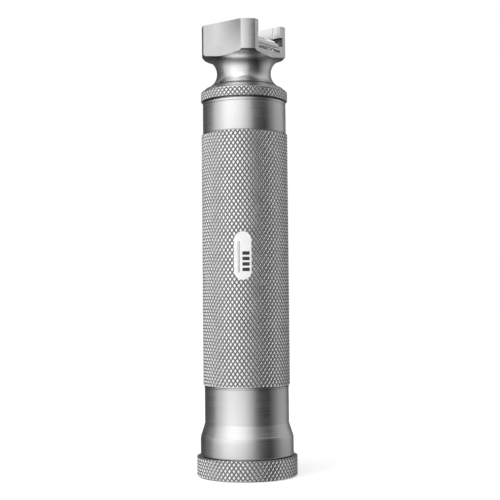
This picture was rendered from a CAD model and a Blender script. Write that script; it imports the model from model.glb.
"""Looks of the laryngoscope handle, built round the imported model.

Lengths in the constants are millimetres; objects are in metres, in the model's own frame: +Z up
along the handle, the blade slot open towards -Y, the hinge pin along X.
"""
import bpy
import bmesh
from math import asin, cos, pi, radians, sin, sqrt, tan
from mathutils import Matrix, Vector


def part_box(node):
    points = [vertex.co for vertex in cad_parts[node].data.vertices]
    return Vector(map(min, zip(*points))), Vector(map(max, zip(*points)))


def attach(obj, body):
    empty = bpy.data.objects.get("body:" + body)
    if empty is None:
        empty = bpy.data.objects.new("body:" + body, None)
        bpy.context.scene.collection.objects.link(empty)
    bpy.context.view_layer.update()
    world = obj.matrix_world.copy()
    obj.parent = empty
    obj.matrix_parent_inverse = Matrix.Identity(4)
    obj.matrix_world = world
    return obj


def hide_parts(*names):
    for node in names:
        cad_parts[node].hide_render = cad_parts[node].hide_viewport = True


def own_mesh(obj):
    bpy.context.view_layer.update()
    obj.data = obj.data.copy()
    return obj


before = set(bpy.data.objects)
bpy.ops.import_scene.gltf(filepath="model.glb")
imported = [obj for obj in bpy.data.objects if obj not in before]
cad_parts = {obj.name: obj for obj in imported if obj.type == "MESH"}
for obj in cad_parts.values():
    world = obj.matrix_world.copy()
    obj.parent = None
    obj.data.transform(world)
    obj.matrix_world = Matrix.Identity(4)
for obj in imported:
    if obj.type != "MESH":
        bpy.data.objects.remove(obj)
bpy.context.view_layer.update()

MM = 0.001


def span(node):
    """Lowest and highest corner of a CAD node, in millimetres."""
    low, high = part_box(node)
    return low / MM, high / MM


# ---- sizes read from the frame (mm) -------------------------------------------------------
_, CAP_HIGH = span("bottom_cap")
TUBE_LOW, TUBE_HIGH = span("handle_tube")
COLLAR_LOW, COLLAR_HIGH = span("head_collar")
HEAD_LOW, HEAD_HIGH = span("head_body")
PIN_LOW, PIN_HIGH = span("hinge_pin")
PLUNGER_LOW, PLUNGER_HIGH = span("contact_plunger")
BUSH_LOW, BUSH_HIGH = span("contact_bush")
PLATE_LOW, PLATE_HIGH = span("maker_plate")

CAP_R = CAP_HIGH.x
SPIGOT_TOP = CAP_HIGH.z
TUBE_FOOT = TUBE_LOW.z
TUBE_TOP = TUBE_HIGH.z
FLARE_R = TUBE_HIGH.x
COLLAR_R = COLLAR_HIGH.x
COLLAR_TOP = COLLAR_HIGH.z
HEAD_SPIGOT_BOTTOM = COLLAR_LOW.z
BLOCK_TOP = HEAD_HIGH.z
STEM_BOTTOM = HEAD_LOW.z
SIDE_FLAT = HEAD_HIGH.x
FRONT_FLAT = -HEAD_LOW.y
BLOCK_R = HEAD_HIGH.y
SIDE_FLAT_END = sqrt(BLOCK_R ** 2 - SIDE_FLAT ** 2)       # half-length of a side flat
PIN_R = (PIN_HIGH.z - PIN_LOW.z) / 2.0
PIN_Z = (PIN_HIGH.z + PIN_LOW.z) / 2.0
PIN_Y = (PIN_HIGH.y + PIN_LOW.y) / 2.0

# ---- sizes inside those boxes (mm) --------------------------------------------------------
GAP = 0.3
CLOSE_GAP = 0.15
RIM_EDGE = 0.25              # chamfer of the tube's rims and of the pin
SPIGOT_EDGE = 0.4            # chamfer of the spigots' ends

CAP_FLANGE = 6.7
CAP_KNURL_BOTTOM = 0.3
CAP_KNURL_TOP = CAP_FLANGE - 0.05
CAP_FLOOR = 3.0
CAP_FOOT_R = 12.2            # shallow recess in the cap's lower face
CAP_FOOT_DEPTH = 0.25
RIVET_HOLE_R = 1.7
RIVET_HOLE_Z = 1.0
SPIGOT_R = 14.45
SPIGOT_BORE_R = 11.0
CAP_SEAL_Z = 8.65
SEAL_WIRE_R = 0.5
SEAL_PROUD = 0.1
SEAL_GROOVE_HALF = 0.75
SEAL_GROOVE_ROOM = 0.05
SEAL_SIDES = 16
CAP_THREAD_Z = 9.9
CAP_THREAD_TURNS = 3
SPRING_WIRE_R = 0.55
SPRING_BOTTOM_R = 8.6
SPRING_TOP_R = 4.6
SPRING_TURNS = 4.5
SPRING_END_TURNS = 0.75      # closed turns at each end
SPRING_STEPS = 40
FLARE_TOP = 11.8
FLARE_EDGE_R = 15.5
FLARE_EDGE_Z = 14.0
FLARE_BORE_TOP = 14.3
FLARE_BORE_SLOPE = 0.7
SHOULDER_TOP = 17.8
LINE_DROP = 0.9              # fine turned line under the tube's rim
LINE_WIDTH = 0.4
LINE_DEPTH = 0.1
RELIEF_DEPTH = 0.4           # turned grooves at the ends of the grip
RELIEF_WIDTH = 0.4
UPPER_RELIEF_FLOOR = 0.3
UPPER_RELIEF_TOP = 0.45
BEAD_HEIGHT = 0.12           # bright bead under the lower groove
BEAD_TOP = 0.5
BEAD_FOOT = 0.8
BEAD_END = 0.95
LOWER_BAND_R = 14.3
UPPER_BAND_R = 14.25
GRIP_R = 14.75
GRIP_BOTTOM = 30.6
GRIP_TOP = 115.9
BORE_R = 13.4
COLLAR_BOTTOM = 127.4
COLLAR_EDGE_Z = 130.5
COLLAR_TOP_R = 11.2
COLLAR_BROW_R = 13.3
COLLAR_BROW_Z = 131.85
COLLAR_SLOPE_R = 14.3
COLLAR_SLOPE_Z = 131.0
COLLAR_FOOT_EDGE = 0.35
COLLAR_LIP = 0.1             # plain lips above and below the collar's knurl
COLLAR_KNURL_BOTTOM = COLLAR_BOTTOM + 0.25
COLLAR_KNURL_TOP = COLLAR_EDGE_Z - COLLAR_LIP
HEAD_SPIGOT_R = 13.1
HEAD_SEAL_Z = 125.4
HEAD_THREAD_Z = 120.3
HEAD_THREAD_TURNS = 4
STEM_R = 8.7
NECK_BOTTOM = 132.93
NECK_CENTRE_R = 14.8
NECK_CENTRE_Z = 137.3
NECK_ARC_R = 5.5
NECK_RIM = 0.5               # how far inside the block's rim the neck starts
BLOCK_BOTTOM = 143.3
BLOCK_EDGE = 0.22
BACK_CHAMFER_Y = 2.0
BACK_CHAMFER_Z = 1.7
SLOT_HALF = 6.15
SLOT_FLOOR = 144.0
SLOT_BACK = 4.0
SLOT_CORNER = 1.0
SLOT_EDGE = 0.5
TRACK_BOTTOM = 146.4
TRACK_TOP = 149.5
TRACK_DEPTH = 0.8
TRACK_BACK = 1.0
TRACK_CORNER = 1.5
TRACK_MARGIN = 0.15
SLACK = 0.05
DETENT_Y = -8.2
DETENT_HALF = 0.4
TOUCH = 0.01                 # distance within which two points count as level
CUT_REACH = 30.0             # half-width of the big cutting tools
CUT_BOTTOM = 140.0
CUT_TOP = BLOCK_TOP + 10.0
CHAMFER_CUT = (8.0, 4.0)     # half-length and half-depth of the back chamfer's tool
PIN_HOLE_ROOM = 0.03
PIN_END_ROOM = 0.05
PIN_INSET = 0.04
PIN_EXCESS = 1.0             # length of bar that is cut off flush
HEAD_BORE_R = 3.6
BUSH_BORE_R = 2.05
BUSH_LIP_R = 1.55
BUSH_LIP = 1.8
BUSH_ROOM = 0.05
PLUNGER_TIP_R = 1.25
PLUNGER_BODY_R = 1.75
PLUNGER_BODY = 3.4
PLUNGER_PEG_R = 0.9
PLUNGER_DOME_STEPS = 10
CONTACT_WIRE_R = 0.2
CONTACT_COIL_R = 1.42
CONTACT_TURNS = 9

PLATE_AZIMUTH = radians(214.3)
PLATE_WIDTH = 5.8
PLATE_POCKET = 0.45
PLATE_PROUD = 0.06
INK_SINK = 0.1
INK_PROUD = 0.015
BAR_COUNT = 4
BAR_ACROSS = 1.1
BAR_TOP = 0.8                # height of the highest bar above the plate's middle
BAR_SPACING = 1.8
BAR_SIZE = (2.4, 1.15)
BAR_CORNER = 0.12
LINE_MARKS = (-1.5, -1.05)   # where the two thin printed lines stand across the plate
LINE_MARK_UP = -0.4
LINE_MARK_SIZE = (0.14, 10.4)
LINE_MARK_CORNER = 0.06

THREAD_PITCH = 1.0
THREAD_HEIGHT = 0.24
THREAD_ROOT = 0.05

KNURL_PITCH = 1.5            # round the handle
KNURL_RISE = 2.15            # along it
KNURL_HEIGHT = 0.36
KNURL_FLAT = 0.52            # share of a diamond that is flat on top
KNURL_SKIRT = 0.3            # how far a knurled sleeve goes in below its groove floor
KNURL_BACKING = 0.15         # room between groove floor and the piece under the sleeve
KNURL_LAP = 0.1              # how far the grip's sleeve laps the steps at its ends
CAP_HALF_ROWS = 6
COLLAR_HALF_ROWS = 3
ROUND = 144                  # facets round a turned piece


# ---- mesh helpers -------------------------------------------------------------------------
def link(name, mesh):
    obj = bpy.data.objects.new(name, mesh)
    bpy.context.scene.collection.objects.link(obj)
    return obj


def bake(obj):
    """Replace an object's mesh with what its modifiers make of it."""
    bpy.context.view_layer.update()
    graph = bpy.context.evaluated_depsgraph_get()
    mesh = bpy.data.meshes.new_from_object(obj.evaluated_get(graph))
    obj.modifiers.clear()
    old = obj.data
    obj.data = mesh
    if isinstance(old, bpy.types.Mesh):
        bpy.data.meshes.remove(old)
    return obj


def shade(obj, sharp_degrees=32.0):
    """Smooth shading with sharp edges above an angle."""
    obj.data.polygons.foreach_set("use_smooth", [True] * len(obj.data.polygons))
    obj.data.set_sharp_from_angle(angle=radians(sharp_degrees))
    return obj


def fillet(points, radius, steps=3, closed=True):
    """Round the corners of a profile of (radius, z) points."""
    count = len(points)
    out = []
    for i, point in enumerate(points):
        here = Vector(point)
        open_end = not closed and i in (0, count - 1)
        if open_end or here.x < 1e-6:
            out.append(tuple(here))
            continue
        back = Vector(points[i - 1]) - here
        ahead = Vector(points[(i + 1) % count]) - here
        inner = back.angle(ahead)
        if inner > radians(168.0):
            out.append(tuple(here))
            continue
        trim = min(radius / tan(inner / 2.0), 0.45 * back.length, 0.45 * ahead.length)
        start = here + back.normalized() * trim
        end = here + ahead.normalized() * trim
        for k in range(steps + 1):
            t = k / steps
            spot = start * (1.0 - t) ** 2 + here * 2.0 * t * (1.0 - t) + end * t ** 2
            out.append(tuple(spot))
    return out


def turned(name, profile, segments=ROUND, closed=True, corner=0.12, sharp=32.0):
    """Turned piece from a profile that runs down its outer side and up its inner side."""
    points = fillet(profile, corner, closed=closed) if corner else profile
    mesh = bpy.data.meshes.new(name)
    edges = [(i, i + 1) for i in range(len(points) - 1)]
    if closed:
        edges.append((len(points) - 1, 0))
    mesh.from_pydata([(r * MM, 0.0, z * MM) for r, z in points], edges, [])
    obj = link(name, mesh)
    screw = obj.modifiers.new("Turn", 'SCREW')
    screw.axis = 'Z'
    screw.angle = 2.0 * pi
    screw.steps = segments
    screw.render_steps = segments
    screw.use_merge_vertices = True
    screw.merge_threshold = 1e-7
    return shade(bake(obj), sharp)


def knurled_sleeve(name, floor_r, bottom, top, starts, half_rows):
    """Closed sleeve with a diamond knurl, cut by crossing helical grooves down to floor_r."""
    bm = bmesh.new()
    step = 2.0 * pi / starts
    row_rise = (top - bottom) / half_rows
    height = KNURL_HEIGHT

    def place(turn, rise, lift):
        r = floor_r + lift
        return Vector((r * cos(turn) * MM, r * sin(turn) * MM, (bottom + rise) * MM))

    def floor_turn(row, i):
        return (i + 0.5 * (row % 2)) * step

    floor = [[bm.verts.new(place(floor_turn(row, i), row * row_rise, 0.0))
              for i in range(starts)] for row in range(half_rows + 1)]
    for row in range(half_rows + 1):
        for i in range(starts):
            j = (i + 1) % starts
            shift = row % 2
            mid = (i + shift) % starts
            turn = floor_turn(row, i) + 0.5 * step
            rise = row * row_rise
            left = bm.verts.new(place(turn - 0.5 * step * KNURL_FLAT, rise, height))
            right = bm.verts.new(place(turn + 0.5 * step * KNURL_FLAT, rise, height))
            crown = [left, right]
            if row > 0:
                low = bm.verts.new(place(turn, rise - row_rise * KNURL_FLAT, height))
                below = floor[row - 1][mid]
                bm.faces.new((floor[row][i], below, low, left))
                bm.faces.new((below, floor[row][j], right, low))
                crown.insert(1, low)
            if row < half_rows:
                high = bm.verts.new(place(turn, rise + row_rise * KNURL_FLAT, height))
                above = floor[row + 1][mid]
                bm.faces.new((above, floor[row][i], left, high))
                bm.faces.new((floor[row][j], above, high, right))
                crown.append(high)
            bm.faces.new(crown)
            if row == 0:
                bm.faces.new((floor[row][i], left, right, floor[row][j]))
            if row == half_rows:
                bm.faces.new((floor[row][j], right, left, floor[row][i]))
    rims = []
    for row in (0, half_rows):
        rims.append([bm.verts.new(place(floor_turn(row, i), row * row_rise, -KNURL_SKIRT))
                     for i in range(starts)])
    for i in range(starts):
        j = (i + 1) % starts
        bm.faces.new((rims[0][i], floor[0][i], floor[0][j], rims[0][j]))
        bm.faces.new((floor[-1][i], rims[1][i], rims[1][j], floor[-1][j]))
    bmesh.ops.bridge_loops(bm, edges=[e for e in bm.edges if e.is_boundary])
    bmesh.ops.recalc_face_normals(bm, faces=bm.faces)
    mesh = bpy.data.meshes.new(name)
    bm.to_mesh(mesh)
    bm.free()
    return link(name, mesh)


def thread(name, radius, bottom, turns, width=0.62, steps=72):
    """Helical ridge of triangular section whose ends run out into the surface."""
    bm = bmesh.new()
    total = int(turns * steps)
    rings = []
    for i in range(total + 1):
        t = i / total
        fade = min(1.0, 6.0 * min(t, 1.0 - t))
        a = 2.0 * pi * turns * t
        z = bottom + THREAD_PITCH * turns * t
        section = ((radius - THREAD_ROOT, -width / 2.0), (radius + THREAD_HEIGHT * fade, 0.0),
                   (radius - THREAD_ROOT, width / 2.0))
        rings.append([bm.verts.new((r * cos(a) * MM, r * sin(a) * MM, (z + dz) * MM))
                      for r, dz in section])
    for near, far in zip(rings, rings[1:]):
        for k in range(3):
            n = (k + 1) % 3
            bm.faces.new((near[k], far[k], far[n], near[n]))
    bm.faces.new(rings[0])
    bm.faces.new(rings[-1])
    bmesh.ops.recalc_face_normals(bm, faces=bm.faces)
    mesh = bpy.data.meshes.new(name)
    bm.to_mesh(mesh)
    bm.free()
    return shade(link(name, mesh), 20.0)


def wire_coil(name, wire_r, turns, path, steps=28):
    """Wire coil along path(t), which gives (coil radius, height)."""
    curve = bpy.data.curves.new(name, 'CURVE')
    curve.dimensions = '3D'
    curve.bevel_depth = wire_r * MM
    curve.bevel_resolution = 3
    curve.use_fill_caps = True
    total = int(turns * steps)
    spline = curve.splines.new('POLY')
    spline.points.add(total)
    for i in range(total + 1):
        t = i / total
        radius, z = path(t)
        a = 2.0 * pi * turns * t
        spline.points[i].co = (radius * cos(a) * MM, radius * sin(a) * MM, z * MM, 1.0)
    source = bpy.data.objects.new(name + "_path", curve)
    bpy.context.scene.collection.objects.link(source)
    bpy.context.view_layer.update()
    graph = bpy.context.evaluated_depsgraph_get()
    mesh = bpy.data.meshes.new_from_object(source.evaluated_get(graph))
    bpy.data.objects.remove(source, do_unlink=True)
    bpy.data.curves.remove(curve)
    bm = bmesh.new()
    bm.from_mesh(mesh)
    bmesh.ops.remove_doubles(bm, verts=bm.verts, dist=1e-6)
    bmesh.ops.recalc_face_normals(bm, faces=bm.faces)
    bm.to_mesh(mesh)
    bm.free()
    mesh.name = name
    mesh.materials.clear()
    return shade(link(name, mesh), 50.0)


def box_tool(low, high, turn=None, round_edges=None, radius=0.0):
    """Cutting box between two corners; round_edges(a, b) picks the edges to round."""
    low, high = Vector(low), Vector(high)
    size, centre = high - low, (high + low) * 0.5
    bm = bmesh.new()
    bmesh.ops.create_cube(bm, size=1.0)
    for v in bm.verts:
        v.co = Vector(v.co[i] * size[i] for i in range(3))
    if round_edges:
        chosen = [e for e in bm.edges
                  if round_edges(e.verts[0].co + centre, e.verts[1].co + centre)]
        bmesh.ops.bevel(bm, geom=chosen, offset=radius, segments=8, profile=0.5,
                        affect='EDGES')
    bmesh.ops.scale(bm, vec=(MM, MM, MM), verts=bm.verts)
    mesh = bpy.data.meshes.new("tool")
    bm.to_mesh(mesh)
    bm.free()
    obj = link("tool", mesh)
    obj.matrix_world = Matrix.Translation(centre * MM) @ (turn or Matrix.Identity(4))
    return obj


def bar_tool(radius, start, end, sides=64):
    """Round cutting bar between two points, which lie along one of the axes."""
    start, end = Vector(start), Vector(end)
    bm = bmesh.new()
    bmesh.ops.create_cone(bm, cap_ends=True, segments=sides, radius1=radius * MM,
                          radius2=radius * MM, depth=(end - start).length * MM)
    mesh = bpy.data.meshes.new("tool")
    bm.to_mesh(mesh)
    bm.free()
    obj = link("tool", mesh)
    turn = (end - start).to_track_quat('Z', 'Y').to_matrix().to_4x4()
    obj.matrix_world = Matrix.Translation((start + end) * 0.5 * MM) @ turn
    return obj


def carve(obj, tools, operation='DIFFERENCE'):
    """Apply cutting tools to an object one after another, then remove them."""
    for tool in tools:
        mod = obj.modifiers.new("Cut", 'BOOLEAN')
        mod.operation = operation
        mod.solver = 'EXACT'
        mod.object = tool
    bake(obj)
    for tool in tools:
        mesh = tool.data
        bpy.data.objects.remove(tool, do_unlink=True)
        bpy.data.meshes.remove(mesh)
    return obj


def soften(obj, width, angle=28.0, segments=2):
    """Break the sharp edges of a cut solid."""
    bm = bmesh.new()
    bm.from_mesh(obj.data)
    bmesh.ops.remove_doubles(bm, verts=bm.verts, dist=0.004 * MM)
    bmesh.ops.dissolve_limit(bm, angle_limit=radians(0.4), verts=bm.verts, edges=bm.edges)
    bm.to_mesh(obj.data)
    bm.free()
    mod = obj.modifiers.new("Edges", 'BEVEL')
    mod.width = width * MM
    mod.segments = segments
    mod.limit_method = 'ANGLE'
    mod.angle_limit = radians(angle)
    mod.use_clamp_overlap = True
    shade(bake(obj), 40.0)
    flatten = obj.modifiers.new("Normals", 'WEIGHTED_NORMAL')
    flatten.mode = 'FACE_AREA'
    flatten.weight = 50
    flatten.keep_sharp = True
    return bake(obj)


# ---- materials ----------------------------------------------------------------------------
WAIST_R = (11.2, 11.75)      # between these radii and heights the waist's tone fades out
WAIST_Z = (137.8, 140.8)
HANDLED_CORNER = (-SIDE_FLAT, 2.0 - FRONT_FLAT, BLOCK_TOP)
HANDLED_REACH = 13.0
HANDLED_FADE = 0.5
JACKET_BAND = 0.72           # share of a cell's height below the copper band


class Shader:
    """A material with a Principled shader and short calls for its texture nodes."""

    def __init__(self, name, metallic, roughness, colour, **sockets):
        self.material = bpy.data.materials.new(name)
        self.material.use_nodes = True
        self.tree = self.material.node_tree
        self.main = self.tree.nodes["Principled BSDF"]
        self.main.inputs["Metallic"].default_value = metallic
        self.main.inputs["Roughness"].default_value = roughness
        self.main.inputs["Base Color"].default_value = (*colour, 1.0)
        for socket, value in sockets.items():
            self.main.inputs[socket.replace("_", " ")].default_value = value
        self.coords = self.node('ShaderNodeTexCoord').outputs["Object"]

    def node(self, kind, **settings):
        made = self.tree.nodes.new(kind)
        for key, value in settings.items():
            setattr(made, key, value)
        return made

    def feed(self, source, socket):
        self.tree.links.new(source, socket)

    def scaled(self, x, y, z):
        """Object coordinates stretched by a factor along each axis."""
        stretch = self.node('ShaderNodeMapping')
        stretch.inputs["Scale"].default_value = (x, y, z)
        self.feed(self.coords, stretch.inputs["Vector"])
        return stretch.outputs["Vector"]

    def noise(self, vector, scale, detail=3.0, rough=0.5):
        made = self.node('ShaderNodeTexNoise')
        made.inputs["Scale"].default_value = scale
        made.inputs["Detail"].default_value = detail
        made.inputs["Roughness"].default_value = rough
        self.feed(vector, made.inputs["Vector"])
        return made.outputs["Fac"]

    def spread(self, source, low, high, from_low=0.3, from_high=0.7):
        """Stretch a value to a range."""
        made = self.node('ShaderNodeMapRange')
        made.inputs["From Min"].default_value = from_low
        made.inputs["From Max"].default_value = from_high
        made.inputs["To Min"].default_value = low
        made.inputs["To Max"].default_value = high
        self.feed(source, made.inputs["Value"])
        return made.outputs["Result"]

    def sum(self, a, b):
        made = self.node('ShaderNodeMath', operation='ADD')
        self.feed(a, made.inputs[0])
        self.feed(b, made.inputs[1])
        return made.outputs["Value"]

    def times(self, a, b):
        made = self.node('ShaderNodeMath', operation='MULTIPLY')
        self.feed(a, made.inputs[0])
        self.feed(b, made.inputs[1])
        return made.outputs["Value"]

    def tint(self, factor, dark, light):
        """Blend between two colours by a factor from 0 to 1."""
        made = self.node('ShaderNodeMix', data_type='RGBA')
        self.feed(factor, made.inputs["Factor"])
        for socket, shade_of in ((made.inputs[6], dark), (made.inputs[7], light)):
            if isinstance(shade_of, tuple):
                socket.default_value = (*shade_of, 1.0)
            else:
                self.feed(shade_of, socket)
        return made.outputs[2]

    def cylindrical(self):
        """Distance from the handle's axis, and height."""
        split = self.node('ShaderNodeSeparateXYZ')
        self.feed(self.coords, split.inputs["Vector"])
        flat = self.node('ShaderNodeCombineXYZ')
        self.feed(split.outputs["X"], flat.inputs["X"])
        self.feed(split.outputs["Y"], flat.inputs["Y"])
        radius = self.node('ShaderNodeVectorMath', operation='LENGTH')
        self.feed(flat.outputs["Vector"], radius.inputs[0])
        return radius.outputs["Value"], split.outputs["Z"]

    def across(self):
        """Distance along Y."""
        split = self.node('ShaderNodeSeparateXYZ')
        self.feed(self.coords, split.inputs["Vector"])
        return split.outputs["Y"]

    def near(self, point, reach):
        """1 at a point, fading smoothly to 0 at a distance; both in millimetres."""
        gap = self.node('ShaderNodeVectorMath', operation='DISTANCE')
        gap.inputs[1].default_value = [part * MM for part in point]
        self.feed(self.coords, gap.inputs[0])
        fade = self.node('ShaderNodeMapRange', interpolation_type='SMOOTHSTEP')
        fade.inputs["From Max"].default_value = reach * MM
        fade.inputs["To Min"].default_value = 1.0
        fade.inputs["To Max"].default_value = 0.0
        self.feed(gap.outputs["Value"], fade.inputs["Value"])
        return fade.outputs["Result"]

    def colour(self, source):
        self.feed(source, self.main.inputs["Base Color"])

    def roughness(self, source):
        self.feed(source, self.main.inputs["Roughness"])

    def relief(self, source, depth):
        """Bump of a given depth in millimetres."""
        made = self.node('ShaderNodeBump')
        made.inputs["Strength"].default_value = 1.0
        made.inputs["Distance"].default_value = depth * MM
        self.feed(source, made.inputs["Height"])
        self.feed(made.outputs["Normal"], self.main.inputs["Normal"])


def grey(value):
    return (value, value, value)


def turned_steel(name, tone=0.68, rough=0.3, line_depth=0.0016):
    """Satin steel from the lathe: fine rings across the axis, faint handling marks."""
    s = Shader(name, 1.0, rough, grey(tone))
    rings = s.noise(s.scaled(20.0, 20.0, 2600.0), 1.0, 2.0, 0.6)
    marks = s.noise(s.coords, 140.0, 4.0, 0.6)
    grain = s.noise(s.coords, 5200.0, 2.0)
    s.colour(s.tint(s.sum(s.spread(rings, 0.0, 0.5), s.spread(marks, 0.0, 0.5)),
                    grey(tone - 0.05), grey(tone + 0.05)))
    s.roughness(s.sum(s.spread(marks, rough - 0.05, rough + 0.04), s.spread(rings, -0.03, 0.04)))
    s.relief(s.sum(rings, s.spread(grain, 0.0, 0.5)), line_depth)
    return s.material


def milled_steel(name, tone=0.72, rough=0.27):
    """Satin steel with very fine blasted grain, brighter high up in the waist of the neck.

    One side flat is dulled by handling towards its upper front corner.
    """
    s = Shader(name, 1.0, rough, grey(tone))
    grain = s.noise(s.coords, 4200.0, 3.0, 0.6)
    sweep = s.noise(s.scaled(300.0, 60.0, 1500.0), 1.0, 2.0)
    marks = s.noise(s.coords, 170.0, 4.0, 0.6)
    radius, height = s.cylindrical()
    across = s.across()
    outside = s.spread(radius, 0.0, 1.0, WAIST_R[0] * MM, WAIST_R[1] * MM)
    below = s.spread(height, 1.0, 0.0, WAIST_Z[0] * MM, WAIST_Z[1] * MM)
    plain = s.sum(outside, below)
    plain.node.use_clamp = True
    clouds = s.noise(s.scaled(0.6, 1.0, 1.0), 95.0, 2.0)
    steel = s.tint(s.sum(s.spread(marks, 0.0, 0.4), s.spread(clouds, 0.0, 0.6)),
                   grey(tone - 0.10), grey(tone + 0.07))
    behind_edge = s.spread(across, 0.0, 1.0, -SIDE_FLAT_END * MM,
                           (HANDLED_FADE - SIDE_FLAT_END) * MM)
    handled = s.times(s.near(HANDLED_CORNER, HANDLED_REACH), behind_edge)
    steel = s.tint(s.times(handled, s.spread(clouds, 0.7, 1.0)), steel, grey(0.22))
    s.colour(s.tint(plain, grey(0.9), steel))
    s.roughness(s.sum(s.spread(marks, rough - 0.05, rough + 0.05), s.spread(sweep, -0.03, 0.03)))
    s.relief(s.sum(grain, sweep), 0.0022)
    return s.material


def milled_recess(name):
    """Dull dark steel in the corners a cutter leaves."""
    s = Shader(name, 1.0, 0.5, grey(0.14))
    marks = s.noise(s.coords, 900.0, 4.0, 0.6)
    s.colour(s.tint(s.spread(marks, 0.0, 1.0), grey(0.09), grey(0.18)))
    s.roughness(s.spread(marks, 0.42, 0.58))
    s.relief(marks, 0.004)
    return s.material


def knurled_steel(name, floor_r, crest_r, tone=0.86, rough=0.42):
    """Knurled steel: grooves hold a little grime, crests are rubbed brighter."""
    s = Shader(name, 1.0, rough, grey(tone))
    radius, _ = s.cylindrical()
    height = s.spread(radius, 0.0, 1.0, floor_r * MM, crest_r * MM)
    marks = s.noise(s.coords, 220.0, 4.0, 0.6)
    worn = s.times(height, s.spread(marks, 0.8, 1.1))
    s.colour(s.tint(worn, grey(tone - 0.5), grey(tone + 0.06)))
    s.roughness(s.sum(s.spread(height, rough + 0.12, rough - 0.05, 0.0, 1.0),
                      s.spread(marks, -0.03, 0.04)))
    s.relief(s.noise(s.coords, 3800.0, 3.0), 0.003)
    return s.material


def polished_steel(name):
    s = Shader(name, 1.0, 0.22, grey(0.88))
    marks = s.noise(s.scaled(400.0, 2600.0, 2600.0), 1.0, 3.0)
    s.colour(s.tint(s.spread(marks, 0.0, 1.0), grey(0.83), grey(0.93)))
    s.roughness(s.spread(marks, 0.17, 0.28))
    s.relief(marks, 0.0006)
    return s.material


def drawn_wire(name, tone=0.55):
    s = Shader(name, 1.0, 0.25, grey(tone))
    marks = s.noise(s.coords, 900.0, 4.0, 0.6)
    s.colour(s.tint(s.spread(marks, 0.0, 1.0), grey(tone - 0.08), grey(tone + 0.06)))
    s.roughness(s.spread(marks, 0.18, 0.34))
    s.relief(marks, 0.002)
    return s.material


def machined_brass(name):
    s = Shader(name, 1.0, 0.24, (0.78, 0.58, 0.26))
    rings = s.noise(s.scaled(30.0, 30.0, 3400.0), 1.0, 2.0)
    tarnish = s.noise(s.coords, 420.0, 5.0, 0.65)
    s.colour(s.tint(s.spread(tarnish, 0.0, 1.0), (0.60, 0.40, 0.16), (0.86, 0.66, 0.32)))
    s.roughness(s.sum(s.spread(tarnish, 0.18, 0.3), s.spread(rings, -0.02, 0.04)))
    s.relief(rings, 0.002)
    return s.material


def nickel(name):
    s = Shader(name, 1.0, 0.22, (0.72, 0.71, 0.68))
    marks = s.noise(s.coords, 500.0, 4.0, 0.6)
    s.colour(s.tint(s.spread(marks, 0.0, 1.0), (0.64, 0.63, 0.60), (0.77, 0.76, 0.73)))
    s.roughness(s.spread(marks, 0.14, 0.32))
    s.relief(marks, 0.002)
    return s.material


def moulded_plastic(name, dark=0.018, light=0.04):
    s = Shader(name, 0.0, 0.45, grey(light))
    grain = s.noise(s.coords, 3200.0, 3.0)
    flow = s.noise(s.coords, 260.0, 3.0)
    s.colour(s.tint(s.spread(flow, 0.0, 1.0), grey(dark), grey(light)))
    s.roughness(s.sum(s.spread(flow, 0.36, 0.46), s.spread(grain, 0.0, 0.08)))
    s.relief(grain, 0.006)
    return s.material


def seal_rubber(name):
    s = Shader(name, 0.0, 0.7, grey(0.02))
    dust = s.noise(s.coords, 800.0, 5.0, 0.7)
    s.colour(s.tint(s.spread(dust, 0.0, 1.0, 0.45, 0.75), grey(0.012), grey(0.05)))
    s.roughness(s.spread(dust, 0.6, 0.85))
    s.relief(dust, 0.01)
    return s.material


def white_lacquer(name):
    s = Shader(name, 0.0, 0.35, grey(0.86), Coat_Weight=0.3, Coat_Roughness=0.15)
    cloud = s.noise(s.coords, 400.0, 4.0, 0.6)
    grain = s.noise(s.coords, 4200.0, 2.0)
    s.colour(s.tint(s.spread(cloud, 0.0, 1.0), (0.80, 0.81, 0.82), (0.90, 0.90, 0.90)))
    s.roughness(s.spread(cloud, 0.3, 0.42))
    s.relief(grain, 0.002)
    return s.material


def print_ink(name):
    s = Shader(name, 0.0, 0.5, grey(0.05))
    patchy = s.noise(s.coords, 1800.0, 4.0, 0.7)
    s.colour(s.tint(s.spread(patchy, 0.0, 1.0), grey(0.015), grey(0.05)))
    s.roughness(s.spread(patchy, 0.4, 0.6))
    s.relief(patchy, 0.003)
    return s.material


def cell_jacket(name, low_z, high_z):
    """Printed jacket: dark body with a copper-coloured band at the positive end."""
    s = Shader(name, 0.0, 0.3, grey(0.03), Coat_Weight=0.4, Coat_Roughness=0.1)
    _, height = s.cylindrical()
    edge = low_z + JACKET_BAND * (high_z - low_z)
    band = s.spread(height, 0.0, 1.0, edge * MM, (edge + 0.1) * MM)
    flakes = s.noise(s.coords, 1500.0, 3.0)
    s.colour(s.tint(s.times(band, s.spread(flakes, 0.85, 1.0)), (0.02, 0.022, 0.028),
                    (0.62, 0.33, 0.14)))
    s.feed(s.times(band, s.spread(flakes, 0.7, 0.9)), s.main.inputs["Metallic"])
    s.roughness(s.spread(flakes, 0.24, 0.36))
    s.relief(s.noise(s.coords, 900.0, 3.0), 0.004)
    return s.material


def finish_piece(obj, material, body, slot, *nodes):
    """Give a piece its material, its body, its slot and the CAD nodes it stands for."""
    obj.data.materials.clear()
    obj.data.materials.append(material)
    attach(obj, body)
    if nodes:
        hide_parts(*nodes)
    return obj


TURNED = turned_steel("turned_steel")
MILLED = milled_steel("milled_steel")
RECESS = milled_recess("milled_recess")
POLISHED = polished_steel("polished_pin_steel")
WIRE = drawn_wire("drawn_wire")
BRASS = machined_brass("machined_brass")
NICKEL = nickel("nickel_plate")
PLASTIC = moulded_plastic("moulded_plastic")
RUBBER = seal_rubber("seal_rubber_skin")
LACQUER = white_lacquer("white_lacquer_skin")
INK = print_ink("print_ink")


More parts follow.
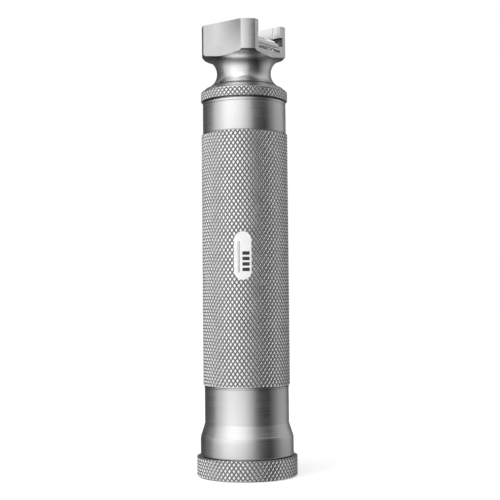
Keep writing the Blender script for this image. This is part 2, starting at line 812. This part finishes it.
# ---- tube ---------------------------------------------------------------------------------
def shoulder_arc(steps=8):
    """Soft edge below the flare's cone, out to its full radius."""
    points = []
    for i in range(1, steps + 1):
        a = pi / 2.0 * i / steps
        points.append((FLARE_EDGE_R + (FLARE_R - FLARE_EDGE_R) * sin(a),
                       FLARE_TOP + (FLARE_EDGE_Z - FLARE_TOP) * cos(a)))
    return points


def add_knurl(name, crest_r, bottom, top, half_rows, body, material_name):
    """Knurled sleeve whose crests stand at a radius."""
    floor_r = crest_r - KNURL_HEIGHT
    starts = round(2.0 * pi * crest_r / KNURL_PITCH)
    sleeve = knurled_sleeve(name, floor_r, bottom, top, starts, half_rows)
    finish_piece(sleeve, knurled_steel(material_name, floor_r, crest_r), body, "satin_steel")


def make_tube():
    under_knurl = GRIP_R - KNURL_HEIGHT - KNURL_BACKING
    line_z = TUBE_TOP - LINE_DROP
    line_r = UPPER_BAND_R - LINE_DEPTH
    relief_r = LOWER_BAND_R - RELIEF_DEPTH
    bead_r = LOWER_BAND_R + BEAD_HEIGHT
    flare_bore_r = SPIGOT_R + GAP
    profile = [(UPPER_BAND_R - RIM_EDGE, TUBE_TOP), (UPPER_BAND_R, TUBE_TOP - RIM_EDGE),
               (UPPER_BAND_R, line_z), (line_r, line_z - LINE_DEPTH),
               (line_r, line_z - LINE_WIDTH + LINE_DEPTH), (UPPER_BAND_R, line_z - LINE_WIDTH),
               (UPPER_BAND_R, GRIP_TOP + UPPER_RELIEF_TOP),
               (UPPER_BAND_R - RELIEF_DEPTH, GRIP_TOP + UPPER_RELIEF_FLOOR),
               (under_knurl, GRIP_TOP - KNURL_LAP), (under_knurl, GRIP_BOTTOM + KNURL_LAP),
               (relief_r, GRIP_BOTTOM), (relief_r, GRIP_BOTTOM - RELIEF_WIDTH),
               (bead_r, GRIP_BOTTOM - BEAD_TOP), (bead_r, GRIP_BOTTOM - BEAD_FOOT),
               (LOWER_BAND_R, GRIP_BOTTOM - BEAD_END),
               (LOWER_BAND_R, SHOULDER_TOP), (FLARE_EDGE_R, FLARE_EDGE_Z)]
    profile += shoulder_arc()
    profile += [(FLARE_R, TUBE_FOOT + RIM_EDGE), (FLARE_R - RIM_EDGE, TUBE_FOOT),
                (flare_bore_r, TUBE_FOOT), (flare_bore_r, FLARE_BORE_TOP),
                (BORE_R, FLARE_BORE_TOP + FLARE_BORE_SLOPE), (BORE_R, TUBE_TOP - RIM_EDGE),
                (BORE_R + RIM_EDGE, TUBE_TOP)]
    shell = turned("tube_shell", profile, corner=0.1)
    finish_piece(shell, TURNED, "handle", "satin_steel", "handle_tube")
    half_rows = round(2.0 * (GRIP_TOP - GRIP_BOTTOM) / KNURL_RISE)
    add_knurl("grip_knurl", GRIP_R, GRIP_BOTTOM, GRIP_TOP, half_rows, "handle", "grip_steel")


# ---- maker's plate ------------------------------------------------------------------------
def wrapped_pad(name, across, up, width, height, corner, inner_r, outer_r, columns=20):
    """Thin pad with rounded ends, wrapped round the handle's axis at the plate."""
    mid_z = (PLATE_LOW.z + PLATE_HIGH.z) / 2.0 + up
    bm = bmesh.new()
    sections = []
    for i in range(columns + 1):
        x = -0.5 * width * cos(pi * i / columns)
        inset = max(abs(x) - (0.5 * width - corner), 0.0)
        rise = 0.5 * height - corner + sqrt(max(corner ** 2 - inset ** 2, 0.0))
        a = PLATE_AZIMUTH + (across + x) / GRIP_R
        corners = ((inner_r, -rise), (outer_r, -rise), (outer_r, rise), (inner_r, rise))
        sections.append([bm.verts.new((r * cos(a) * MM, r * sin(a) * MM, (mid_z + z) * MM))
                         for r, z in corners])
    for near, far in zip(sections, sections[1:]):
        for k in range(4):
            n = (k + 1) % 4
            bm.faces.new((near[k], far[k], far[n], near[n]))
    bm.faces.new(sections[0])
    bm.faces.new(sections[-1])
    bmesh.ops.recalc_face_normals(bm, faces=bm.faces)
    mesh = bpy.data.meshes.new(name)
    bm.to_mesh(mesh)
    bm.free()
    return shade(link(name, mesh), 30.0)


def make_plate():
    height = PLATE_HIGH.z - PLATE_LOW.z
    face_r = GRIP_R + PLATE_PROUD
    plate = wrapped_pad("plate_face", 0.0, 0.0, PLATE_WIDTH, height, PLATE_WIDTH / 2.0,
                        GRIP_R - PLATE_POCKET, face_r, 32)
    finish_piece(plate, LACQUER, "handle", "white_lacquer", "maker_plate")
    marks = [(BAR_ACROSS, BAR_TOP - BAR_SPACING * k, *BAR_SIZE, BAR_CORNER)
             for k in range(BAR_COUNT)]
    marks += [(across, LINE_MARK_UP, *LINE_MARK_SIZE, LINE_MARK_CORNER) for across in LINE_MARKS]
    for k, (across, up, wide, tall, corner) in enumerate(marks):
        mark = wrapped_pad("plate_mark_%d" % k, across, up, wide, tall, corner,
                           face_r - INK_SINK, face_r + INK_PROUD, 8)
        finish_piece(mark, INK, "handle", "white_lacquer")


# ---- bottom cap ---------------------------------------------------------------------------
def seal_groove(spigot_r, z):
    """Groove in a spigot, from its top edge to its bottom edge."""
    floor_r = spigot_r - 2.0 * SEAL_WIRE_R - SEAL_GROOVE_ROOM
    high = z + SEAL_GROOVE_HALF
    low = z - SEAL_GROOVE_HALF
    return [(spigot_r, high), (floor_r, high), (floor_r, low), (spigot_r, low)]


def make_seal(name, spigot_r, z, body, node):
    centre = spigot_r - SEAL_WIRE_R + SEAL_PROUD
    turns = [2.0 * pi * i / SEAL_SIDES for i in range(SEAL_SIDES)]
    profile = [(centre + SEAL_WIRE_R * sin(a), z + SEAL_WIRE_R * cos(a)) for a in turns]
    ring = turned(name, profile, corner=0.0, sharp=60.0)
    finish_piece(ring, RUBBER, body, "seal_rubber", node)


def make_cap_body():
    floor_r = CAP_R - KNURL_HEIGHT
    under = floor_r - 0.2
    profile = [(0.0, RIVET_HOLE_Z), (RIVET_HOLE_R, RIVET_HOLE_Z), (RIVET_HOLE_R, CAP_FLOOR),
               (SPIGOT_BORE_R, CAP_FLOOR),
               (SPIGOT_BORE_R, SPIGOT_TOP - SPIGOT_EDGE / 2.0),
               (SPIGOT_BORE_R + SPIGOT_EDGE / 2.0, SPIGOT_TOP),
               (SPIGOT_R - SPIGOT_EDGE, SPIGOT_TOP), (SPIGOT_R, SPIGOT_TOP - SPIGOT_EDGE)]
    profile += seal_groove(SPIGOT_R, CAP_SEAL_Z)
    profile += [(SPIGOT_R, CAP_FLANGE), (under, CAP_FLANGE),
                (under, CAP_KNURL_TOP - KNURL_BACKING), (under, CAP_KNURL_BOTTOM + KNURL_BACKING),
                (floor_r + 0.05, CAP_KNURL_BOTTOM), (floor_r - 0.1, 0.0),
                (CAP_FOOT_R + 0.3, 0.0), (CAP_FOOT_R, CAP_FOOT_DEPTH), (0.0, CAP_FOOT_DEPTH)]
    body = turned("cap_body", profile, closed=False, corner=0.12)
    finish_piece(body, TURNED, "cap", "satin_steel", "bottom_cap")


def make_battery_coil():
    low, high = span("battery_spring")
    start = low.z + SPRING_WIRE_R
    climb = high.z - low.z - 2.0 * SPRING_WIRE_R
    flat = SPRING_END_TURNS / SPRING_TURNS

    def path(t):
        rise = min(max((t - flat) / (1.0 - 2.0 * flat), 0.0), 1.0)
        return SPRING_BOTTOM_R + (SPRING_TOP_R - SPRING_BOTTOM_R) * t, start + climb * rise

    coil = wire_coil("battery_coil", SPRING_WIRE_R, SPRING_TURNS, path, SPRING_STEPS)
    finish_piece(coil, WIRE, "cap", "spring_steel", "battery_spring")


def make_cap():
    make_cap_body()
    add_knurl("cap_knurl", CAP_R, CAP_KNURL_BOTTOM, CAP_KNURL_TOP, CAP_HALF_ROWS, "cap",
              "cap_steel")
    ridge = thread("cap_thread", SPIGOT_R, CAP_THREAD_Z, CAP_THREAD_TURNS)
    finish_piece(ridge, TURNED, "cap", "satin_steel")
    make_seal("cap_ring", SPIGOT_R, CAP_SEAL_Z, "cap_lift", "cap_seal")
    make_battery_coil()


# ---- head ---------------------------------------------------------------------------------
def make_collar():
    bore_r = STEM_R + GAP
    under = COLLAR_R - KNURL_HEIGHT - KNURL_BACKING
    profile = [(COLLAR_TOP_R, COLLAR_TOP), (COLLAR_BROW_R, COLLAR_BROW_Z),
               (COLLAR_SLOPE_R, COLLAR_SLOPE_Z), (COLLAR_R - 0.12, COLLAR_EDGE_Z + COLLAR_LIP),
               (COLLAR_R - COLLAR_LIP, COLLAR_KNURL_TOP),
               (under, COLLAR_KNURL_TOP - KNURL_BACKING),
               (under, COLLAR_KNURL_BOTTOM + KNURL_BACKING),
               (COLLAR_R - 0.15, COLLAR_KNURL_BOTTOM),
               (COLLAR_R - COLLAR_FOOT_EDGE, COLLAR_BOTTOM), (HEAD_SPIGOT_R, COLLAR_BOTTOM)]
    profile += seal_groove(HEAD_SPIGOT_R, HEAD_SEAL_Z)
    profile += [(HEAD_SPIGOT_R, HEAD_SPIGOT_BOTTOM + SPIGOT_EDGE),
                (HEAD_SPIGOT_R - SPIGOT_EDGE, HEAD_SPIGOT_BOTTOM),
                (bore_r, HEAD_SPIGOT_BOTTOM), (bore_r, COLLAR_TOP)]
    body = turned("collar_body", profile, corner=0.08)
    finish_piece(body, TURNED, "head", "satin_steel", "head_collar")
    add_knurl("collar_knurl", COLLAR_R, COLLAR_KNURL_BOTTOM, COLLAR_KNURL_TOP,
              COLLAR_HALF_ROWS, "head", "collar_steel")
    ridge = thread("head_thread", HEAD_SPIGOT_R, HEAD_THREAD_Z, HEAD_THREAD_TURNS)
    finish_piece(ridge, TURNED, "head", "satin_steel")
    make_seal("head_ring", HEAD_SPIGOT_R, HEAD_SEAL_Z, "head_lift", "head_seal")


def neck_arc(steps=40):
    """Concave neck, from the rim of the block down to the collar."""
    top_z = NECK_CENTRE_Z + sqrt(NECK_ARC_R ** 2 - (NECK_CENTRE_R - BLOCK_R + NECK_RIM) ** 2)
    start = asin((top_z - NECK_CENTRE_Z) / NECK_ARC_R)
    end = asin((NECK_BOTTOM - NECK_CENTRE_Z) / NECK_ARC_R)
    points = []
    for i in range(steps + 1):
        a = start + (end - start) * i / steps
        points.append((NECK_CENTRE_R - NECK_ARC_R * cos(a), NECK_CENTRE_Z + NECK_ARC_R * sin(a)))
    return points


def chamfer_tool():
    """Tool for the slope along the block's upper back edge."""
    slope = Vector((0.0, BACK_CHAMFER_Y, -BACK_CHAMFER_Z)).normalized()
    normal = Vector((0.0, BACK_CHAMFER_Z, BACK_CHAMFER_Y)).normalized()
    turn = Matrix((Vector((1.0, 0.0, 0.0)), slope, normal)).transposed().to_4x4()
    mid = Vector((0.0, BLOCK_R - BACK_CHAMFER_Y / 2.0, BLOCK_TOP - BACK_CHAMFER_Z / 2.0))
    centre = mid + normal * CHAMFER_CUT[1]
    half = Vector((CUT_REACH, *CHAMFER_CUT))
    return box_tool(centre - half, centre + half, turn)


def head_tools():
    """Every cut that turns the round blank into the slotted block."""
    tools = []
    for side in (-1.0, 1.0):
        x = sorted((side * SIDE_FLAT, side * CUT_REACH))
        tools.append(box_tool((x[0], -CUT_REACH, CUT_BOTTOM), (x[1], CUT_REACH, CUT_TOP)))
    tools.append(box_tool((-CUT_REACH, -CUT_REACH, CUT_BOTTOM),
                          (CUT_REACH, -FRONT_FLAT, CUT_TOP)))
    tools.append(chamfer_tool())

    def slot_corner(a, b):
        return min(a.y, b.y) > SLOT_BACK - TOUCH and abs(a.x - b.x) < TOUCH

    def track_corner(a, b):
        return min(a.y, b.y) > TRACK_BACK - TOUCH and abs(a.z - b.z) < TOUCH

    tools.append(box_tool((-SLOT_HALF, -CUT_REACH, SLOT_FLOOR), (SLOT_HALF, SLOT_BACK, CUT_TOP),
                          round_edges=slot_corner, radius=SLOT_CORNER))
    reach = SLOT_HALF + TRACK_DEPTH
    tools.append(box_tool((-reach, -CUT_REACH, TRACK_BOTTOM), (reach, TRACK_BACK, TRACK_TOP),
                          round_edges=track_corner, radius=TRACK_CORNER))
    quarter = Matrix.Rotation(pi / 4.0, 4, 'Z')
    for side in (-1.0, 1.0):
        x = side * SLOT_HALF
        for y, half_diagonal in ((DETENT_Y, DETENT_HALF), (-FRONT_FLAT, SLOT_EDGE)):
            half_side = half_diagonal / sqrt(2.0)
            tools.append(box_tool((x - half_side, y - half_side, SLOT_FLOOR + TOUCH),
                                  (x + half_side, y + half_side, CUT_TOP), quarter))
    tools.append(bar_tool(PIN_R + PIN_HOLE_ROOM, (PIN_LOW.x - PIN_END_ROOM, PIN_Y, PIN_Z),
                          (CUT_REACH, PIN_Y, PIN_Z)))
    return tools


def darken_tracks(block):
    """Dull finish on the faces inside the ball tracks, behind the slot's rounded edges."""
    block.data.materials.append(RECESS)
    for face in block.data.polygons:
        x, _, z = face.center / MM
        in_cheek = TRACK_MARGIN < abs(x) - SLOT_HALF < TRACK_DEPTH + SLACK
        if in_cheek and TRACK_BOTTOM - SLACK < z < TRACK_TOP + SLACK:
            face.material_index = 1


def make_block():
    profile = [(BLOCK_R, BLOCK_TOP), (BLOCK_R, BLOCK_BOTTOM)]
    profile += neck_arc()
    profile += [(STEM_R, NECK_BOTTOM), (STEM_R, STEM_BOTTOM), (HEAD_BORE_R, STEM_BOTTOM),
                (HEAD_BORE_R, BLOCK_TOP)]
    block = turned("head_block", profile, corner=0.0)
    carve(block, head_tools())
    soften(block, BLOCK_EDGE)
    finish_piece(block, MILLED, "head", "satin_steel", "head_body")
    darken_tracks(block)


def make_pin():
    """Cross pin, turned as a bar and cut flush with the block's round front."""
    right = SIDE_FLAT + PIN_EXCESS
    half = (right - PIN_LOW.x) / 2.0
    middle = (right + PIN_LOW.x) / 2.0
    bar = [(0.0, half), (PIN_R - RIM_EDGE, half), (PIN_R, half - RIM_EDGE),
           (PIN_R, RIM_EDGE - half), (PIN_R - RIM_EDGE, -half), (0.0, -half)]
    pin = turned("cross_pin", bar, segments=48, closed=False, corner=0.1)
    pin.data.transform(Matrix.Translation(Vector((middle, PIN_Y, PIN_Z)) * MM)
                       @ Matrix.Rotation(pi / 2.0, 4, 'Y'))
    flush = bar_tool(BLOCK_R - PIN_INSET, (0.0, 0.0, BLOCK_BOTTOM), (0.0, 0.0, BLOCK_TOP), ROUND)
    carve(pin, [flush], 'INTERSECT')
    shade(pin)
    finish_piece(pin, POLISHED, "head", "polished_steel", "hinge_pin")


def make_contact():
    """Sleeve, sprung tip and coil in the head's bore."""
    outer_r = HEAD_BORE_R - BUSH_ROOM
    lip_z = BUSH_HIGH.z - BUSH_LIP
    sleeve = [(outer_r, BUSH_HIGH.z), (outer_r, BUSH_LOW.z), (BUSH_BORE_R, BUSH_LOW.z),
              (BUSH_BORE_R, lip_z), (BUSH_LIP_R, lip_z), (BUSH_LIP_R, BUSH_HIGH.z)]
    bush = turned("contact_sleeve", sleeve, segments=72, corner=0.15)
    finish_piece(bush, PLASTIC, "head", "black_plastic", "contact_bush")

    shoulder = lip_z - CLOSE_GAP
    body_bottom = shoulder - PLUNGER_BODY
    tip = []
    for i in range(PLUNGER_DOME_STEPS + 1):
        a = pi / 2.0 * i / PLUNGER_DOME_STEPS
        tip.append((PLUNGER_TIP_R * sin(a), PLUNGER_HIGH.z - PLUNGER_TIP_R * (1.0 - cos(a))))
    tip += [(PLUNGER_TIP_R, shoulder), (PLUNGER_BODY_R, shoulder), (PLUNGER_BODY_R, body_bottom),
            (PLUNGER_PEG_R, body_bottom), (PLUNGER_PEG_R, PLUNGER_LOW.z), (0.0, PLUNGER_LOW.z)]
    plunger = turned("contact_tip", tip, segments=48, closed=False, corner=0.08)
    finish_piece(plunger, BRASS, "plunger", "brass", "contact_plunger")

    low, high = span("contact_spring")
    start = low.z + CONTACT_WIRE_R
    climb = high.z - low.z - 2.0 * CONTACT_WIRE_R
    coil = wire_coil("contact_coil", CONTACT_WIRE_R, CONTACT_TURNS,
                     lambda t: (CONTACT_COIL_R, start + climb * t))
    finish_piece(coil, WIRE, "head", "spring_steel", "contact_spring")
    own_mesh(coil)


# ---- pieces kept from the CAD -------------------------------------------------------------
def paint(node, material):
    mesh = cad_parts[node].data
    mesh.materials.clear()
    mesh.materials.append(material)


def paint_inner_pieces():
    for cell in ("lower_cell", "upper_cell"):
        low, high = span(cell + "_can")
        paint(cell + "_can", cell_jacket(cell + "_print", low.z, high.z))
        paint(cell + "_positive_cap", NICKEL)
        paint(cell + "_negative_plate", NICKEL)
        paint(cell + "_end_seal", PLASTIC)
    paint("spring_seat", BRASS)
    paint("spring_rivet", NICKEL)
    paint("retaining_nut", BRASS)
    paint("terminal_stud", BRASS)
    paint("terminal_insulator", PLASTIC)


# ---- stage, light and camera --------------------------------------------------------------
CAMERA_AZIMUTH = radians(-52.0)
CAMERA_DISTANCE = 0.3857
CAMERA_HEIGHT = 0.0583
CAMERA_LENS = 80.96
CAMERA_PITCH = radians(2.7)
CAMERA_YAW = radians(-0.23)
CAMERA_ROLL = radians(-0.55)
FLOOR_RADIUS = 6.0
FLOOR_DROP = 0.0002          # keeps the floor just clear of the cap's lower face
FLOOR_GLOW = 0.55
SOFTBOX_SIZE = 0.7
SOFTBOX_POWER = 0.8
SOFTBOX_PLACE = (-0.48, -0.08, 0.95)
SOFTBOX_AIM = (0.0, 0.0, 0.08)


def make_camera():
    data = bpy.data.cameras.new("camera")
    data.lens = CAMERA_LENS
    data.sensor_width = 36.0
    data.clip_start = 0.01
    data.clip_end = 20.0
    camera = bpy.data.objects.new("camera", data)
    bpy.context.scene.collection.objects.link(camera)
    spot = Vector((sin(CAMERA_AZIMUTH), -cos(CAMERA_AZIMUTH), 0.0)) * CAMERA_DISTANCE
    spot.z = CAMERA_HEIGHT
    aim = Matrix.Rotation(CAMERA_AZIMUTH + CAMERA_YAW, 4, 'Z')
    aim = aim @ Matrix.Rotation(pi / 2.0 + CAMERA_PITCH, 4, 'X')
    camera.matrix_world = Matrix.Translation(spot) @ aim @ Matrix.Rotation(CAMERA_ROLL, 4, 'Z')
    bpy.context.scene.camera = camera


def make_floor():
    bm = bmesh.new()
    bmesh.ops.create_circle(bm, cap_ends=True, segments=96, radius=FLOOR_RADIUS)
    mesh = bpy.data.meshes.new("studio_floor")
    bm.to_mesh(mesh)
    bm.free()
    floor = link("studio_floor", mesh)
    floor.location.z = -FLOOR_DROP
    s = Shader("studio_paper", 0.0, 0.9, grey(0.9))
    fibre = s.noise(s.coords, 900.0, 3.0)
    s.colour(s.tint(s.spread(fibre, 0.0, 1.0), grey(0.88), grey(0.92)))
    s.main.inputs["Emission Color"].default_value = (1.0, 1.0, 1.0, 1.0)
    s.main.inputs["Emission Strength"].default_value = FLOOR_GLOW
    mesh.materials.append(s.material)
    floor.visible_glossy = False


# Brightness round the studio, by angle to the right of the camera's side (degrees).
STUDIO = ((-180.0, 0.12), (-135.0, 0.12), (-104.0, 0.28), (-84.0, 1.1), (-45.0, 1.95),
          (-12.0, 1.65), (10.0, 1.0), (28.0, 0.16), (62.0, 0.05), (80.0, 0.32), (98.0, 0.64),
          (126.0, 0.68), (146.0, 0.22), (180.0, 0.12))


# How that changes with the sine of the elevation: from, to, level at from, level at to.
BELOW = (-0.85, 0.12, 0.12, 1.0)
CEILING = (0.55, 0.95, 1.0, 0.6)
OVERHEAD_GLOW = (0.35, 0.85, 0.0, 0.34)


def make_world():
    """Softboxes and dark screens round the object; the camera sees plain white."""
    world = bpy.data.worlds.new("studio")
    world.use_nodes = True
    tree = world.node_tree
    tree.nodes.clear()

    def node(kind, **settings):
        made = tree.nodes.new(kind)
        for key, value in settings.items():
            setattr(made, key, value)
        return made

    def math(operation, a, b):
        made = node('ShaderNodeMath', operation=operation)
        for socket, value in zip(made.inputs, (a, b)):
            if isinstance(value, float):
                socket.default_value = value
            else:
                tree.links.new(value, socket)
        return made.outputs["Value"]

    def along(direction):
        made = node('ShaderNodeVectorMath', operation='DOT_PRODUCT')
        tree.links.new(coords.outputs["Generated"], made.inputs[0])
        made.inputs[1].default_value = direction
        return made.outputs["Value"]

    def by_height(fade):
        """Smooth change of level with the sine of the elevation."""
        made = node('ShaderNodeMapRange', interpolation_type='SMOOTHSTEP')
        tree.links.new(along((0.0, 0.0, 1.0)), made.inputs["Value"])
        for label, value in zip(("From Min", "From Max", "To Min", "To Max"), fade):
            made.inputs[label].default_value = value
        return made.outputs["Result"]

    coords = node('ShaderNodeTexCoord')
    to_camera = (sin(CAMERA_AZIMUTH), -cos(CAMERA_AZIMUTH), 0.0)
    to_right = (cos(CAMERA_AZIMUTH), sin(CAMERA_AZIMUTH), 0.0)
    angle = math('ARCTAN2', along(to_right), along(to_camera))
    fraction = math('ADD', math('MULTIPLY', angle, 0.5 / pi), 0.5)
    ramp = node('ShaderNodeValToRGB')
    ramp.color_ramp.interpolation = 'EASE'
    peak = max(level for _, level in STUDIO)
    stops = ramp.color_ramp.elements
    while len(stops) < len(STUDIO):
        stops.new(0.5)
    for stop, (turn, level) in zip(stops, STUDIO):
        stop.position = turn / 360.0 + 0.5
        stop.color = (*grey(level / peak), 1.0)
    tree.links.new(fraction, ramp.inputs["Fac"])
    walls = math('MULTIPLY', math('MULTIPLY', ramp.outputs["Color"], peak), by_height(BELOW))
    level = math('ADD', math('MULTIPLY', walls, by_height(CEILING)), by_height(OVERHEAD_GLOW))
    studio = node('ShaderNodeBackground')
    tree.links.new(level, studio.inputs["Strength"])
    plain = node('ShaderNodeBackground')
    plain.inputs["Color"].default_value = (1.0, 1.0, 1.0, 1.0)
    mix = node('ShaderNodeMixShader')
    tree.links.new(node('ShaderNodeLightPath').outputs["Is Camera Ray"], mix.inputs["Fac"])
    tree.links.new(studio.outputs["Background"], mix.inputs[1])
    tree.links.new(plain.outputs["Background"], mix.inputs[2])
    tree.links.new(mix.outputs["Shader"], node('ShaderNodeOutputWorld').inputs["Surface"])
    bpy.context.scene.world = world


def make_light():
    """One large overhead softbox."""
    data = bpy.data.lights.new("overhead", 'AREA')
    data.shape = 'DISK'
    data.size = SOFTBOX_SIZE
    data.energy = SOFTBOX_POWER
    light = bpy.data.objects.new("overhead", data)
    bpy.context.scene.collection.objects.link(light)
    light.location = SOFTBOX_PLACE
    toward = Vector(SOFTBOX_AIM) - light.location
    light.rotation_euler = toward.to_track_quat('-Z', 'Y').to_euler()


make_tube()
make_plate()
make_cap()
make_collar()
make_block()
make_pin()
make_contact()
paint_inner_pieces()
make_floor()
make_world()
make_light()
make_camera()
bpy.context.scene.view_settings.view_transform = 'Standard'

bpy.context.view_layer.update()
